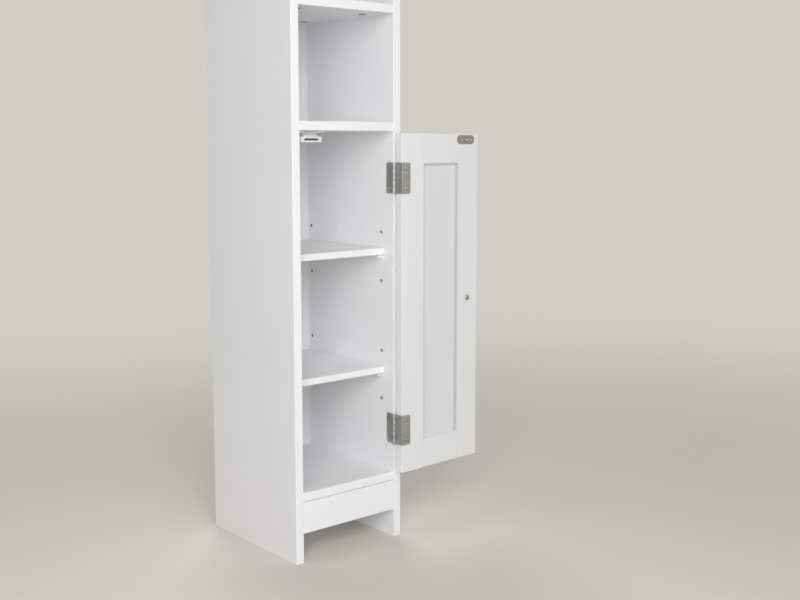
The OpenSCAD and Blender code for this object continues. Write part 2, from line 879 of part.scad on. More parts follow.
left_side_panel();
right_side_panel();
top_panel();
bottom_panel();
kick_board();
back_panel();
fixed_shelf_1();
fixed_shelf_2();
fixed_shelf_3();
fixed_shelf_4();
cam_locks();
cam_bolts();
dowels();
back_panel_nails();
adjustable_shelf_upper();
adjustable_shelf_lower();
shelf_pins_upper();
shelf_pins_lower();
door_hinge_stile();
door_free_stile();
door_top_rail();
door_bottom_rail();
door_centre_panel();
hinge_upper_panel_leaf();
hinge_upper_door_leaf();
hinge_upper_pin();
hinge_upper_panel_screws();
hinge_upper_door_screws();
hinge_lower_panel_leaf();
hinge_lower_door_leaf();
hinge_lower_pin();
hinge_lower_panel_screws();
hinge_lower_door_screws();
door_knob();
knob_screw();
strike_plate();
strike_plate_screw();
catch_housing();
catch_magnet();
catch_pole_plates();
catch_screws();
wall_bracket();
wall_bracket_screws();
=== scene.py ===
"""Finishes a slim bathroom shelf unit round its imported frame, and sets its stage."""

import json
import math

import bmesh
import bpy
from bpy.props import FloatProperty, FloatVectorProperty, IntProperty, PointerProperty
from mathutils import Matrix, Vector


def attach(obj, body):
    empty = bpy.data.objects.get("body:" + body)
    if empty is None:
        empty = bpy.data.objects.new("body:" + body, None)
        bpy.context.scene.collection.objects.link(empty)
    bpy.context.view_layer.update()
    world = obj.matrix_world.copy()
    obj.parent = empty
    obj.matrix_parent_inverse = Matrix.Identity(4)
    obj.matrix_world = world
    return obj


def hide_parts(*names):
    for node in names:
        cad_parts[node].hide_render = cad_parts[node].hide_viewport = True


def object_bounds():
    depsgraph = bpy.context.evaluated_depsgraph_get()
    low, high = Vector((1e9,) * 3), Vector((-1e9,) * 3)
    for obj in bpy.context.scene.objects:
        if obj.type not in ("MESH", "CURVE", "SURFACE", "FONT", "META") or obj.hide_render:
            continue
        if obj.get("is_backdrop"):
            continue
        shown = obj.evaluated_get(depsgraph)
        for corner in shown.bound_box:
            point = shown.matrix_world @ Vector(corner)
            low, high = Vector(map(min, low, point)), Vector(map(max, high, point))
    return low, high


bl_info = {
    "name": "Bathroom Shelf Unit",
    "version": (1, 0, 0),
    "blender": (4, 5, 0),
    "location": "View3D > Sidebar > Shelf Unit",
    "description": "Finishes a bathroom shelf unit and sets its stage",
    "category": "Object",
}

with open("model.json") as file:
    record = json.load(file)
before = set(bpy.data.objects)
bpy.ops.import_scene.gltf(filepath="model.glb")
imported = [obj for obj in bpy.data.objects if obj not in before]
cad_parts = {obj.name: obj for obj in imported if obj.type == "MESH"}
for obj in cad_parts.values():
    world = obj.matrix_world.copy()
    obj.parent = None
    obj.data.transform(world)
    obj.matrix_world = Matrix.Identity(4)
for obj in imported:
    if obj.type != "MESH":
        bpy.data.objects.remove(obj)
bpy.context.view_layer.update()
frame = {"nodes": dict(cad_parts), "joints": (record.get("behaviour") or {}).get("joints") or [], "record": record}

# Hardware is drawn in millimetres and placed in metres
MM = 0.001
WELD = 1e-6
SMOOTH_ANGLE = math.radians(32)

# Sizes in millimetres that more than one piece of hardware uses
SEAM_MM = 1e-4
HOLE_CLEARANCE = 0.08
KNUCKLE_WALL = 0.95
LEAF_FRONT = 0.1
BENT_CORNER = 0.3

# The core of a screw's thread, as a share of its crest, and the length of its point, in diameters
THREAD_ROOT = 0.68
THREAD_POINT = 1.6

# The knob's screw is thicker than the wood screws, and has at least this wide a head
KNOB_SCREW = 4.0
KNOB_SCREW_HEAD = 7
KNOB_SCREW_CROWN = 2.4
STRIKE_SCREW_CROWN = 0.15

# Name, place and width of each soft light, and the floor's radius, in metres
LIGHTS = (
    ("key", (-1.62, -2.31, 1.53), 1.8),
    ("top", (-0.41, -2.33, 2.35), 1.8),
    ("near", (-0.735, -1.176, 0.695), 0.9),
    ("back", (1.3, 2.5, 1.9), 1.8),
)
FLOOR_RADIUS = 6

BOARDS = (
    "left_side_panel", "right_side_panel", "top_panel", "bottom_panel", "kick_board",
    "fixed_shelf_1", "fixed_shelf_2", "fixed_shelf_3", "fixed_shelf_4",
    "adjustable_shelf_upper", "adjustable_shelf_lower",
)
LEVELS = ("upper", "lower")

# The door's hinge line, and the angle at which the door stands at rest
HINGE = next(joint for joint in frame["joints"] if joint["name"] == "door_hinge")
HINGE_POINT = Vector(HINGE["pos_m"])
DOOR_OPEN = -math.radians(HINGE["range_deg"][0])
OPENED = (
    Matrix.Translation(HINGE_POINT)
    @ Matrix.Rotation(DOOR_OPEN, 4, "Z")
    @ Matrix.Translation(-HINGE_POINT)
)
BODY_OF = {
    node: body
    for body, nodes in frame["record"]["behaviour"]["bodies"].items()
    for node in nodes
}


class ShelfUnitFinish(bpy.types.PropertyGroup):
    """Colours and roughness of the finishes."""

    board_colour: FloatVectorProperty(
        name="Board", description="White foil of the boards", subtype="COLOR", size=3,
        min=0, max=1, default=(0.895, 0.896, 0.91),
    )
    door_colour: FloatVectorProperty(
        name="Door", description="White lacquer of the door", subtype="COLOR", size=3,
        min=0, max=1, default=(0.85, 0.85, 0.86),
    )
    panel_colour: FloatVectorProperty(
        name="Door panel", description="White paint of the door's centre panel", subtype="COLOR",
        size=3, min=0, max=1, default=(0.785, 0.785, 0.795),
    )
    core_colour: FloatVectorProperty(
        name="Board core", description="Chips that show in the drilled holes", subtype="COLOR",
        size=3, min=0, max=1, default=(0.40, 0.34, 0.27),
    )
    plastic_colour: FloatVectorProperty(
        name="Plastic", description="Catch and shelf pins", subtype="COLOR", size=3,
        min=0, max=1, default=(0.80, 0.80, 0.795),
    )
    hinge_colour: FloatVectorProperty(
        name="Hinge metal", description="Nickel plating of the hinges", subtype="COLOR",
        size=3, min=0, max=1, default=(0.50, 0.495, 0.48),
    )
    steel_colour: FloatVectorProperty(
        name="Plated steel", description="Screws, strike plate and bracket", subtype="COLOR",
        size=3, min=0, max=1, default=(0.435, 0.43, 0.42),
    )
    zinc_colour: FloatVectorProperty(
        name="Cast zinc", description="Cam locks", subtype="COLOR", size=3,
        min=0, max=1, default=(0.16, 0.157, 0.15),
    )
    knob_colour: FloatVectorProperty(
        name="Knob", description="Satin nickel of the knob", subtype="COLOR", size=3,
        min=0, max=1, default=(0.56, 0.54, 0.51),
    )
    # Painted shade: the factor that darkens the stiles' inner edges, standing in for the shade that falls there
    shaded_inner_edge: FloatProperty(
        name="Inner edge", description="Tone of the thinner paint on the stiles' inner edges",
        default=0.64, min=0, max=1, subtype="FACTOR",
    )
    board_roughness: FloatProperty(
        name="Board roughness", description="Roughness of the foil", default=0.42,
        min=0, max=1, subtype="FACTOR",
    )
    metal_roughness: FloatProperty(
        name="Metal roughness", description="Roughness of the plated metal", default=0.38,
        min=0, max=1, subtype="FACTOR",
    )
    hinge_roughness: FloatProperty(
        name="Hinge roughness", description="Roughness of the hinges' dull plating",
        default=0.54, min=0, max=1, subtype="FACTOR",
    )


class ShelfUnitHardware(bpy.types.PropertyGroup):
    """Sizes of the small hardware, in millimetres."""

    edge: FloatProperty(
        name="Edge", description="Radius that rounds the edges of sheet metal, in mm",
        default=0.2, min=0.05, max=0.4,
    )
    leaf: FloatProperty(
        name="Hinge leaf", description="Thickness of a hinge leaf, in mm", default=1.0,
        min=0.8, max=1.5,
    )
    leaf_corner: FloatProperty(
        name="Leaf corner", description="Corner radius of a hinge leaf, in mm", default=2.5,
        min=1.0, max=4.0,
    )
    knuckles: IntProperty(
        name="Knuckles", description="Knuckles of a hinge, both leaves together", default=5,
        min=3, max=7,
    )
    knuckle_gap: FloatProperty(
        name="Knuckle gap", description="Gap between two knuckles, in mm", default=0.45,
        min=0.1, max=0.8,
    )
    screw: FloatProperty(
        name="Screw", description="Diameter of a wood screw, in mm", default=3.0,
        min=2.0, max=4.0,
    )
    screw_head: FloatProperty(
        name="Screw head", description="Height of a wood screw's head, in mm", default=1.1,
        min=0.8, max=1.6,
    )
    thread_pitch: FloatProperty(
        name="Thread pitch", description="Pitch of a wood screw's thread, in mm", default=1.3,
        min=0.8, max=2.0,
    )
    plastic_edge: FloatProperty(
        name="Plastic edge", description="Radius that rounds the plastic pieces, in mm",
        default=0.5, min=0.2, max=1.0,
    )


class ShelfUnitStage(bpy.types.PropertyGroup):
    """Camera, lights and floor."""

    camera_place: FloatVectorProperty(
        name="Camera", description="Place of the camera", subtype="TRANSLATION", unit="LENGTH",
        size=3, default=(-0.8406, -1.2722, 0.5524),
    )
    camera_turn: FloatProperty(
        name="Turn", description="Angle from +Y towards +X at which the camera looks",
        subtype="ANGLE", default=math.radians(40.852),
    )
    camera_dip: FloatProperty(
        name="Dip", description="Angle at which the camera looks down", subtype="ANGLE",
        default=math.radians(7.179),
    )
    lens: FloatProperty(
        name="Lens", description="Focal length", subtype="DISTANCE_CAMERA", default=51.0,
    )
    shift_up: FloatProperty(
        name="Shift", description="Vertical shift, as a share of the picture's width",
        default=-0.02, min=-0.05, max=0.05,
    )
    key_power: FloatProperty(
        name="Key light", description="Power of the large soft light", unit="POWER",
        default=22.0, min=0,
    )
    top_power: FloatProperty(
        name="Top light", description="Power of the soft light over the front", unit="POWER",
        default=12.5, min=0,
    )
    near_power: FloatProperty(
        name="Near light", description="Power of the low soft light that reaches into the unit",
        unit="POWER", default=10.2, min=0,
    )
    back_power: FloatProperty(
        name="Back light", description="Power of the soft light behind the unit", unit="POWER",
        default=34.0, min=0,
    )
    ambient: FloatProperty(
        name="Ambient", description="Strength of the even light from all sides", default=0.25,
        min=0,
    )
    backdrop: FloatVectorProperty(
        name="Backdrop", description="Colour behind the unit", subtype="COLOR", size=3,
        min=0, max=1, default=(0.63, 0.604, 0.572),
    )
    floor: FloatVectorProperty(
        name="Floor", description="Colour of the floor", subtype="COLOR", size=3,
        min=0, max=1, default=(0.76, 0.732, 0.695),
    )


class Finish:
    """One material's node graph, with short ways to add and join its nodes."""

    def __init__(self, name):
        self.material = bpy.data.materials.new(name)
        self.material.use_nodes = True
        self.tree = self.material.node_tree
        self.shader = self.tree.nodes["Principled BSDF"]

    def add(self, kind, inputs=None, **settings):
        """Adds a node. An input is a value, or a socket that is joined to it."""
        node = self.tree.nodes.new("ShaderNode" + kind)
        for name, value in settings.items():
            setattr(node, name, value)
        for name, value in (inputs or {}).items():
            self.join(value, node.inputs[name])
        return node

    def join(self, value, socket):
        """Joins a socket to another one, or gives it a value."""
        if isinstance(value, bpy.types.NodeSocket):
            self.tree.links.new(value, socket)
        else:
            socket.default_value = value

    def set(self, **inputs):
        """Sets the shader's own sockets, whose names are written with underscores."""
        for name, value in inputs.items():
            self.join(value, self.shader.inputs[name.replace("_", " ")])

    def place(self, stretch=(1, 1, 1), space="Object"):
        """Surface coordinates in metres, or as shares of the piece's own box."""
        coordinates = self.add("TexCoord").outputs[space]
        if stretch == (1, 1, 1):
            return coordinates
        return self.add("Mapping", {"Vector": coordinates, "Scale": stretch}).outputs["Vector"]

    def noise(self, per_metre, detail=2.0, stretch=(1, 1, 1), roughness=0.5):
        """Noise from 0 to 1 with so many bumps to the metre."""
        return self.add("TexNoise", {
            "Vector": self.place(stretch), "Scale": per_metre, "Detail": detail,
            "Roughness": roughness,
        }).outputs["Fac"]

    def spread(self, value, low, high):
        """Maps noise, most of which lies between 0.3 and 0.7, to the range from low to high."""
        return self.add("MapRange", {
            "Value": value, "From Min": 0.3, "From Max": 0.7, "To Min": low, "To Max": high,
        }).outputs["Result"]

    def blend(self, factor, first, second):
        """Colour between two colours."""
        ramp = self.add("ValToRGB", {"Fac": factor})
        ramp.color_ramp.elements[0].color = (*first, 1)
        ramp.color_ramp.elements[1].color = (*second, 1)
        return ramp.outputs["Color"]

    def mix(self, factor, first, second):
        """Mixes two colours or colour sockets."""
        node = self.add("Mix", data_type="RGBA")
        # Its sockets share their names with those for numbers, so they are taken by position
        self.join(factor, node.inputs[0])
        self.join(first, node.inputs[6])
        self.join(second, node.inputs[7])
        return node.outputs[2]

    def calculate(self, operation, *values):
        """The result of a Math node on values or sockets."""
        return self.add("Math", dict(enumerate(values)), operation=operation).outputs[0]

    def mottled(self, colour, darkest, lightest, per_metre, detail, roughness=0.5):
        """A colour in soft patches, from its darkest shade to its lightest."""
        patches = self.spread(self.noise(per_metre, detail, roughness=roughness), 0, 1)
        return self.blend(patches, shade(colour, darkest), shade(colour, lightest))

    def bump(self, height, depth_mm, below=None):
        """Bump of so many millimetres, on top of the one below it."""
        inputs = {"Height": height, "Distance": depth_mm * MM}
        if below is not None:
            inputs["Normal"] = below
        return self.add("Bump", inputs).outputs["Normal"]


def shade(colour, factor):
    """A colour, lighter or darker by a factor."""
    return tuple(min(1.0, channel * factor) for channel in colour)


def board_foil(settings):
    """White foil with a fine orange peel. The drilled holes show the chips of the core."""
    finish = Finish("board_foil")
    foil = finish.mottled(settings.board_colour, 0.975, 1, per_metre=5, detail=3)
    chips = finish.mottled(
        settings.core_colour, 0.6, 1.5, per_metre=700, detail=4, roughness=0.7
    )
    rough = settings.board_roughness
    finish.set(
        Base_Color=finish.mix(inside_mask(finish), foil, chips),
        Roughness=finish.spread(finish.noise(60), rough - 0.05, rough + 0.05),
        Specular_IOR_Level=0.45,
        Normal=finish.bump(finish.noise(1100), 0.012),
    )
    return finish.material


def inside_mask(finish, margin=0.03):
    """1 on the walls of holes, which lie inside the board's own box, and 0 on its faces."""
    share = finish.add("SeparateXYZ", {"Vector": finish.place(space="Generated")})
    inside = None
    for axis in "XYZ":
        centred = finish.calculate("SUBTRACT", share.outputs[axis], 0.5)
        depth = finish.calculate("ABSOLUTE", centred)
        within = finish.calculate("LESS_THAN", depth, 0.5 - margin)
        inside = within if inside is None else finish.calculate("MULTIPLY", inside, within)
    return inside


def hardboard_paint(settings):
    """Matt white paint on hardboard, with the faint screen of the board under it."""
    finish = Finish("hardboard_paint")
    peel = finish.bump(finish.noise(900), 0.015)
    finish.set(
        Base_Color=finish.mottled(settings.board_colour, 0.95, 0.985, per_metre=8, detail=4),
        Roughness=finish.spread(finish.noise(90), 0.55, 0.66),
        Specular_IOR_Level=0.35,
        Normal=finish.bump(finish.noise(2600, 1), 0.01, below=peel),
    )
    return finish.material


def facing_mask(finish, direction, least=0.7):
    """1 on the faces of a piece that look in a direction, and 0 on the others."""
    normal = finish.add("TexCoord").outputs["Normal"]
    along = finish.add("VectorMath", {0: normal, 1: tuple(direction)}, operation="DOT_PRODUCT")
    return finish.calculate("GREATER_THAN", along.outputs["Value"], least)


def door_lacquer(name, colour, settings, shaded_inner_edge=None):
    """Sprayed satin lacquer, a little glossier than the foil. The inner edge that looks in the given direction is
    coloured darker, which is painted shade."""
    finish = Finish(name)
    tone = finish.mottled(colour, 0.975, 1, per_metre=6, detail=3)
    # Painted shade: the inner edge's colour is darkened by a factor, in place of the shade that falls on it
    if shaded_inner_edge is not None:
        painted_edge_shade = (*shade(colour, settings.shaded_inner_edge), 1)
        tone = finish.mix(facing_mask(finish, shaded_inner_edge), tone, painted_edge_shade)
    rough = settings.board_roughness
    finish.set(
        Base_Color=tone,
        Roughness=finish.spread(finish.noise(45), rough - 0.08, rough),
        Specular_IOR_Level=0.5,
        Normal=finish.bump(finish.noise(750), 0.014),
    )
    return finish.material


def moulded_plastic(settings):
    """White moulded plastic with a fine spark-eroded grain, made for the first piece of it."""
    made = bpy.data.materials.get("moulded_plastic")
    if made:
        return made
    finish = Finish("moulded_plastic")
    finish.set(
        Base_Color=finish.mottled(settings.plastic_colour, 0.96, 1, per_metre=90, detail=3),
        Roughness=finish.spread(finish.noise(300), 0.36, 0.48),
        Normal=finish.bump(finish.noise(3200), 0.012),
    )
    return finish.material


def brushed_metal(name, colour, roughness, stretch, contrast=0.12, scratch_mm=0.006):
    """Plated metal, brushed along the axis that is stretched least."""
    finish = Finish(name)
    lines = finish.noise(1, 3, stretch=stretch, roughness=0.65)
    clear = finish.blend(lines, shade(colour, 1 - contrast), shade(colour, 1 + contrast))
    dull = finish.blend(lines, shade(colour, 1 - 2 * contrast), shade(colour, 1))
    finish.set(
        Base_Color=finish.mix(finish.spread(finish.noise(160, 3), 0, 1), clear, dull),
        Metallic=1.0,
        Roughness=finish.spread(lines, roughness - 0.07, roughness + 0.1),
        Normal=finish.bump(lines, scratch_mm),
    )
    return finish.material


def screw_plating(settings):
    """The one plated metal of all screws and pins, made for the first of them."""
    return bpy.data.materials.get("plated_screws") or brushed_metal(
        "plated_screws", settings.steel_colour, settings.metal_roughness, (900, 900, 900)
    )


def cast_zinc(settings):
    """Dull die-cast zinc with small pits."""
    finish = Finish("cast_zinc")
    pits = finish.noise(1500, 3, roughness=0.7)
    finish.set(
        Base_Color=finish.mottled(settings.zinc_colour, 0.75, 1.25, per_metre=350, detail=3),
        Metallic=1.0,
        Roughness=finish.spread(pits, 0.45, 0.62),
        Normal=finish.bump(pits, 0.03),
    )
    return finish.material


def beech_wood():
    """Bare turned beech with its grain along X."""
    finish = Finish("beech_wood")
    dark, light = (0.50, 0.33, 0.18), (0.68, 0.50, 0.31)
    grain = finish.noise(1, 4, stretch=(60, 900, 900), roughness=0.6)
    finish.set(
        Base_Color=finish.blend(finish.spread(grain, 0, 1), dark, light),
        Roughness=finish.spread(grain, 0.55, 0.7),
        Normal=finish.bump(grain, 0.04),
    )
    return finish.material


def sintered_magnet():
    """Dull dark magnet with a gritty skin."""
    finish = Finish("sintered_magnet")
    dark, light = (0.018, 0.018, 0.02), (0.05, 0.05, 0.052)
    grit = finish.noise(1800, 3, roughness=0.7)
    finish.set(
        Base_Color=finish.blend(finish.spread(grit, 0, 1), dark, light),
        Roughness=finish.spread(grit, 0.55, 0.7),
        Normal=finish.bump(grit, 0.02),
    )
    return finish.material


def dress(nodes, material):
    """Gives CAD nodes their finish."""
    for name in nodes:
        node = frame["nodes"][name]
        node.data.materials.clear()
        node.data.materials.append(material)


def linked_points(start, unseen):
    """Points in mm of all the vertices that hang together with one. They leave the unseen."""
    front = [start]
    points = []
    while front:
        vertex = front.pop()
        points.append(vertex.co / MM)
        for edge in vertex.link_edges:
            other = edge.other_vert(vertex)
            if other in unseen:
                unseen.remove(other)
                front.append(other)
    return points


def solids(node):
    """Lowest and highest corner of each solid of a CAD node, in mm, with the door closed."""
    shape = bmesh.new()
    shape.from_mesh(frame["nodes"][node].data)
    bmesh.ops.remove_doubles(shape, verts=shape.verts, dist=WELD)
    if BODY_OF[node] == "door":
        moved(shape, OPENED.inverted())
    boxes = []
    unseen = set(shape.verts)
    while unseen:
        points = linked_points(unseen.pop(), unseen)
        boxes.append(tuple(
            Vector([extreme(point[axis] for point in points) for axis in range(3)])
            for extreme in (min, max)
        ))
    shape.free()
    return sorted(boxes, key=lambda box: tuple(round(value, 2) for value in box[0]))


def solid(node):
    """The corners of a CAD node that is one solid, in mm, with the door closed."""
    return solids(node)[0]


def piece(name, shape, material, slot, *nodes):
    """Makes a piece from a shape in mm, drawn with the door closed. It stands for the nodes."""
    body = BODY_OF[nodes[0]]
    metres = Matrix.Scale(MM, 4)
    moved(shape, OPENED @ metres if body == "door" else metres)
    bmesh.ops.recalc_face_normals(shape, faces=shape.faces)
    made = placed_mesh(name, shape)
    made.data.shade_smooth()
    made.data.set_sharp_from_angle(angle=SMOOTH_ANGLE)
    made.data.materials.append(material)
    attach(made, body)
    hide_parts(*nodes)


def placed_mesh(name, shape):
    """An object in the scene that takes its mesh from a shape, which it frees."""
    mesh = bpy.data.meshes.new(name)
    shape.to_mesh(mesh)
    shape.free()
    made = bpy.data.objects.new(name, mesh)
    bpy.context.scene.collection.objects.link(made)
    return made


def joined(shapes):
    """One shape that holds several, side by side."""
    whole = bmesh.new()
    for shape in shapes:
        mesh = bpy.data.meshes.new("part")
        shape.to_mesh(mesh)
        shape.free()
        whole.from_mesh(mesh)
        bpy.data.meshes.remove(mesh)
    return whole


def moved(shape, matrix):
    """The shape itself, moved by a matrix."""
    bmesh.ops.transform(shape, matrix=matrix, verts=shape.verts)
    return shape


def copied(shape, matrix):
    """A copy of a shape, moved by a matrix."""
    return moved(shape.copy(), matrix)


def combined(first, second, operation):
    """The union, difference or intersection of two closed shapes."""
    objects = []
    for shape in (first, second):
        bmesh.ops.recalc_face_normals(shape, faces=shape.faces)
        objects.append(placed_mesh("part", shape))
    modifier = objects[0].modifiers.new("combine", "BOOLEAN")
    modifier.operation = operation
    modifier.solver = "EXACT"
    modifier.object = objects[1]
    whole = evaluated_shape(objects[0])
    for made in objects:
        mesh = made.data
        bpy.data.objects.remove(made)
        bpy.data.meshes.remove(mesh)
    return whole


def evaluated_shape(made):
    """The shape of an object as its modifiers or its curve's thickness leave it."""
    graph = bpy.context.evaluated_depsgraph_get()
    mesh = bpy.data.meshes.new_from_object(made.evaluated_get(graph))
    shape = bmesh.new()
    shape.from_mesh(mesh)
    bpy.data.meshes.remove(mesh)
    return shape


def lathe(profile, sides=40, closed=False):
    """A shape turned about Z from a profile of radius and height, which starts and ends at
    radius 0, or is closed in itself."""
    shape = bmesh.new()
    rings = []
    for radius, height in profile:
        if radius == 0:
            rings.append([shape.verts.new((0, 0, height))])
            continue
        rings.append([
            shape.verts.new((
                radius * math.cos(2 * math.pi * side / sides),
                radius * math.sin(2 * math.pi * side / sides),
                height,
            ))
            for side in range(sides)
        ])
    if closed:
        rings.append(rings[0])
    for low, high in zip(rings, rings[1:]):
        for side in range(sides):
            ahead = (side + 1) % sides
            if len(low) == 1:
                shape.faces.new((low[0], high[ahead], high[side]))
            elif len(high) == 1:
                shape.faces.new((low[side], low[ahead], high[0]))
            else:
                shape.faces.new((low[side], low[ahead], high[ahead], high[side]))
    return shape


def arc(centre, radius, start, end, steps=6):
    """Points on an arc, from one angle in degrees to another."""
    return [
        (
            centre[0] + radius * math.cos(math.radians(start + (end - start) * step / steps)),
            centre[1] + radius * math.sin(math.radians(start + (end - start) * step / steps)),
        )
        for step in range(steps + 1)
    ]


def bevelled(shape, edges, width):
    """The shape, with edges rounded off by a width."""
    if width:
        bmesh.ops.bevel(
            shape, geom=edges, offset=width, segments=2, profile=0.5, affect="EDGES",
            clamp_overlap=True,
        )
    return shape


def prism(outline, low, high, bevel=0.0):
    """A closed outline in X and Y, drawn up from one height to another, with its two ends'
    edges bevelled."""
    shape = bmesh.new()
    base = [shape.verts.new((x, y, low)) for x, y in outline]
    top = [shape.verts.new((x, y, high)) for x, y in outline]
    ends = [shape.faces.new(base), shape.faces.new(top)]
    for first in range(len(outline)):
        second = (first + 1) % len(outline)
        shape.faces.new((base[first], base[second], top[second], top[first]))
    bmesh.ops.recalc_face_normals(shape, faces=shape.faces)
    return bevelled(shape, [edge for end in ends for edge in end.edges], bevel)


def soft_box(low, high, radius=0.0):
    """A box between two corners with rounded edges."""
    shape = bmesh.new()
    low, high = Vector(low), Vector(high)
    bmesh.ops.create_cube(shape, size=1, matrix=(
        Matrix.Translation((low + high) / 2) @ Matrix.Diagonal((*(high - low), 1))
    ))
    return bevelled(shape, list(shape.edges), radius)


def plate(outline, holes, thickness, edge):
    """Sheet between heights 0 and its thickness, with round holes (x, y, radius) and all its
    edges rounded."""
    curve = bpy.data.curves.new("plate", "CURVE")
    curve.dimensions = "2D"
    curve.fill_mode = "BOTH"
    curve.extrude = thickness / 2 - edge
    curve.bevel_depth = edge
    curve.bevel_resolution = 1
    curve.offset = -edge
    # A hole runs round in 24 steps, the other way from the outline
    for loop in [outline] + [arc((x, y), radius, 0, -345, 23) for x, y, radius in holes]:
        spline = curve.splines.new("POLY")
        spline.points.add(len(loop) - 1)
        for point, (x, y) in zip(spline.points, loop):
            point.co = (x, y, 0, 1)
        spline.use_cyclic_u = True
    made = bpy.data.objects.new("plate", curve)
    bpy.context.scene.collection.objects.link(made)
    shape = evaluated_shape(made)
    bpy.data.objects.remove(made)
    bpy.data.curves.remove(curve)
    bmesh.ops.remove_doubles(shape, verts=shape.verts, dist=SEAM_MM)
    return moved(shape, Matrix.Translation((0, 0, thickness / 2)))


def grooved(sheet, holes, head_d, thickness):
    """Sheet with a fine groove stamped into its top face round each screw's head."""
    inner, outer = head_d / 2 - 0.05, head_d / 2 + 0.5
    above, bottom, brim = thickness + 0.3, thickness - 0.45, thickness - 0.1
    groove = lathe([
        (inner, above), (inner, bottom + 0.05), (inner + 0.2, bottom), (outer, brim),
        (outer, above),
    ], closed=True)
    for x, y, _ in holes:
        placed = copied(groove, Matrix.Translation((x, y, 0)))
        sheet = combined(sheet, placed, "DIFFERENCE")
    groove.free()
    return sheet


def rounded(x0, y0, x1, y1, radii):
    """Outline of a rectangle with a radius for each corner, which go round from the low one."""
    corners = (
        (x0, y0, 1, 1, 180), (x1, y0, -1, 1, 270), (x1, y1, -1, -1, 0), (x0, y1, 1, -1, 90),
    )
    points = []
    for (x, y, side_x, side_y, start), radius in zip(corners, radii):
        if radius:
            points += arc((x + side_x * radius, y + side_y * radius), radius, start, start + 90)
        else:
            points.append((x, y))
    return points


def turned_to(direction, origin):
    """Matrix that turns +Z to a direction and moves the origin to a point."""
    turn = Vector(direction).to_track_quat("Z", "Y").to_matrix().to_4x4()
    return Matrix.Translation(origin) @ turn


def cross_cutter(length, width, depth):
    """Tapered cross that cuts a driver's recess down from height 0."""
    over, floor, narrowest = 1.0, 0.45, 0.6
    levels = ((1 + over / depth * 0.5, over), (1, 0), (floor, -depth))
    arms = []
    for turn in (0, 90):
        shape = bmesh.new()
        rings = [
            [
                shape.verts.new(
                    (x * length / 2 * share, y * width / 2 * max(share, narrowest), height)
                )
                for x, y in ((-1, -1), (1, -1), (1, 1), (-1, 1))
            ]
            for share, height in levels
        ]
        for low, high in zip(rings, rings[1:]):
            for side in range(4):
                ahead = (side + 1) % 4
                shape.faces.new((low[side], low[ahead], high[ahead], high[side]))
        shape.faces.new(rings[0])
        shape.faces.new(rings[-1])
        bmesh.ops.recalc_face_normals(shape, faces=shape.faces)
        arms.append(moved(shape, Matrix.Rotation(math.radians(turn), 4, "Z")))
    return combined(*arms, "UNION")


def thread(diameter, pitch, low, high, sides=16):
    """Helical thread on a core that tapers to a point at the low end."""
    shape = bmesh.new()
    turns = int((high - low) / pitch)
    crest = diameter / 2
    root = THREAD_ROOT * crest
    rows = []
    for step in range(turns * sides + 1):
        angle = 2 * math.pi * step / sides
        height = high - pitch * step / sides
        from_tip = (height - low) / (THREAD_POINT * diameter)
        fade = min(1.0, from_tip, (high - height) / pitch + 0.05)
        core = root * min(1.0, 0.12 + from_tip)
        tip = core + (crest - root) * fade
        rows.append([
            shape.verts.new((radius * math.cos(angle), radius * math.sin(angle), height + rise))
            for radius, rise in ((core, 0.0), (tip, -pitch / 2), (core, -pitch))
        ])
    for upper, lower in zip(rows, rows[1:]):
        for column in range(2):
            shape.faces.new((
                upper[column], upper[column + 1], lower[column + 1], lower[column]
            ))
    return shape


def wood_screw(diameter, length, head_d, head_h, pitch):
    """Oval-head wood screw with a cross recess. Its head starts at height 0."""
    rim, steps, foot = 0.22 * head_h, 6, 0.05
    dome = [
        (
            head_d / 2 * math.cos(math.pi / 2 * step / steps),
            rim + (head_h - rim) * math.sin(math.pi / 2 * step / steps),
        )
        for step in range(1, steps)
    ]
    head = lathe(
        [(0, -foot), (head_d / 2 - 0.12, -foot), (head_d / 2, foot), (head_d / 2, rim)]
        + dome + [(0, head_h)], 32,
    )
    return joined([
        with_recess(head, head_d, head_h, depth=0.7 * head_h),
        screw_shank(diameter, length, 0),
        thread(diameter, pitch, -length, -1.0),
    ])


def countersunk_screw(diameter, length, head_d, head_h, pitch):
    """Countersunk wood screw with a cross recess. Its head's rim is at height 0 and its crown
    at head_h."""
    cone = (head_d - diameter) / 2
    head = lathe([
        (0, -cone), (diameter / 2, -cone), (head_d / 2, -0.08), (head_d / 2, 0.02),
        (0.8 * head_d / 2, 0.6 * head_h), (0.4 * head_d / 2, 0.92 * head_h), (0, head_h),
    ])
    return joined([
        with_recess(head, head_d, head_h, depth=0.85),
        screw_shank(diameter, length, -cone),
        thread(diameter, pitch, -length, -cone - 0.8),
    ])


def with_recess(head, head_d, head_h, depth):
    """A screw head with the cross recess for its driver."""
    recess = cross_cutter(0.6 * head_d, 0.19 * head_d, depth)
    return combined(head, moved(recess, Matrix.Translation((0, 0, head_h))), "DIFFERENCE")


def screw_shank(diameter, length, top):
    """Pointed core of a wood screw, with a smooth stretch under its head."""
    core = THREAD_ROOT * diameter / 2
    return lathe([
        (0, -length), (0.1 * core, -length + 0.05), (core, -length + THREAD_POINT * diameter),
        (core, top - 1.2), (diameter / 2, top - 0.9), (diameter / 2, top), (0, top),
    ], 16)


def screws_at(node, direction, head_h, make=wood_screw):
    """A detailed screw for each solid of a node, with its head towards a direction."""
    hardware = bpy.context.scene.shelf_unit_hardware
    axis = next(index for index, value in enumerate(direction) if value)
    sign = direction[axis]
    across = (axis + 1) % 3
    low, high = solid(node)
    head_d = high[across] - low[across]
    length = high[axis] - low[axis] - head_h
    shank_d = hardware.screw if head_d < KNOB_SCREW_HEAD else KNOB_SCREW
    model = make(shank_d, length, head_d, head_h, hardware.thread_pitch)
    copies = []
    for low, high in solids(node):
        seat = (low + high) / 2
        seat[axis] = (high[axis] if sign > 0 else low[axis]) - sign * head_h
        copies.append(copied(model, turned_to(direction, seat)))
    model.free()
    return joined(copies)


